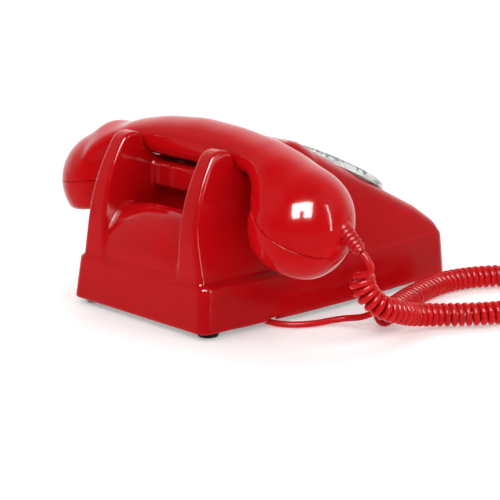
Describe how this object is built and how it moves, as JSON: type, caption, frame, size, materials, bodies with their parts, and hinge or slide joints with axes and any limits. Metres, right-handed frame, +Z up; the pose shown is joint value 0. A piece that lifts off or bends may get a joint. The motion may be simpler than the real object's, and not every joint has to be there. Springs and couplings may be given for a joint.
{
  "type": "rotary telephone",
  "caption": "Desk telephone with a sloped rotary dial, twin carrying fins behind a lift-off handset in a cradle, and a curly handset cord.",
  "frame": {"origin": "on the surface that the feet stand on, under the middle of the set", "axes": "+Z up, -Y towards the person who dials, +Y towards the carrying fins, -X towards the mouth end and the cord"},
  "size_m": [0.2895, 0.2493, 0.118],
  "materials": {
    "red_shell": "polished moulding",
    "red_handset": "polished moulding",
    "base_steel": "zinc plated sheet",
    "foot_rubber": "matt rubber",
    "bright_steel": "turned",
    "black_plastic": "moulded",
    "clear_ring": "clear moulding with printed back",
    "white_plate": "satin white",
    "chrome_trim": "plated",
    "brass_parts": "stamped",
    "clear_wheel": "clear moulding",
    "label_card": "plain card",
    "clear_plunger": "smooth",
    "board": "paper laminate",
    "can_metal": "drawn can",
    "gong_brass": "spun",
    "copper_winding": "wound wire under tape",
    "red_rubber": "soft moulding",
    "red_cord": "smooth sleeve"
  },
  "bodies": {
    "set": {"housing": "red_shell", "base_plate": "base_steel", "foot_rear_left": "foot_rubber", "foot_rear_right": "foot_rubber", "foot_front_left": "foot_rubber", "foot_front_right": "foot_rubber", "base_screw_front": "bright_steel", "base_screw_rear": "bright_steel", "line_jack": "black_plastic", "cord_grommet": "foot_rubber", "number_ring": "clear_ring", "dial_plate": "white_plate", "finger_stop": "chrome_trim", "dial_case": "base_steel", "dial_bridge": "base_steel", "pulse_contacts": "brass_parts", "plunger_guide_left": "base_steel", "plunger_guide_right": "base_steel", "hook_switch": "base_steel", "circuit_board": "board", "induction_coil": "black_plastic", "capacitor": "can_metal", "gong_left": "gong_brass", "gong_right": "gong_brass", "gong_post_left": "bright_steel", "gong_post_right": "bright_steel", "ringer_coils": "copper_winding", "cord_lead": "red_cord", "cord_curl": "red_cord", "cord_tail": "red_cord"},
    "dial": {"finger_wheel": "clear_wheel", "wheel_boss": "chrome_trim", "label_disc": "label_card", "dial_shaft": "bright_steel", "main_gear": "brass_parts"},
    "governor": {"governor_shaft": "bright_steel", "governor_weights": "brass_parts"},
    "left_plunger": {"plunger_left": "clear_plunger"},
    "right_plunger": {"plunger_right": "clear_plunger"},
    "hook": {"hook_lever": "base_steel"},
    "ringer": {"clapper": "bright_steel"},
    "handset": {"handset_handle": "red_handset", "ear_cap": "red_handset", "mouth_cap": "red_handset", "ear_capsule": "can_metal", "mouth_capsule": "black_plastic", "cord_relief": "red_rubber"}
  },
  "joints": [
    {"name": "dial_spin", "type": "hinge", "parent": "set", "child": "dial", "pos_m": [0, -0.041, 0.073], "axis": [0, 0.4772, -0.8788], "range_deg": [0, 330], "stiffness_Nm_per_rad": 0.006, "springref_deg": -57.3},
    {"name": "governor_spin", "type": "hinge", "parent": "set", "child": "governor", "pos_m": [0.0254, -0.041, 0.073], "axis": [0, 0.4772, -0.8788], "range_deg": [-1660, 10]},
    {"name": "handset_lift", "type": "slide", "parent": "set", "child": "handset", "axis": [0, 0, 1], "range_m": [0, 0.08]},
    {"name": "left_plunger_rise", "type": "slide", "parent": "set", "child": "left_plunger", "axis": [0, 0, 1], "range_m": [0, 0.005]},
    {"name": "right_plunger_rise", "type": "slide", "parent": "set", "child": "right_plunger", "axis": [0, 0, 1], "range_m": [0, 0.005]},
    {"name": "hook_turn", "type": "hinge", "parent": "set", "child": "hook", "pos_m": [0, 0.028, 0.058], "axis": [1, 0, 0], "range_deg": [0, 10.1]},
    {"name": "clapper_swing", "type": "hinge", "parent": "set", "child": "ringer", "pos_m": [0, 0.042, 0.031], "axis": [0, 0, 1], "range_deg": [-2.3, 2.3], "stiffness_Nm_per_rad": 0.002}
  ],
  "couplings": [
    {"joint": "governor_spin", "follows": "dial_spin", "ratio": -5},
    {"joint": "left_plunger_rise", "follows": "handset_lift", "ratio": 0.0625},
    {"joint": "right_plunger_rise", "follows": "handset_lift", "ratio": 0.0625},
    {"joint": "hook_turn", "follows": "handset_lift", "rad_per_m": 2.18}
  ]
}
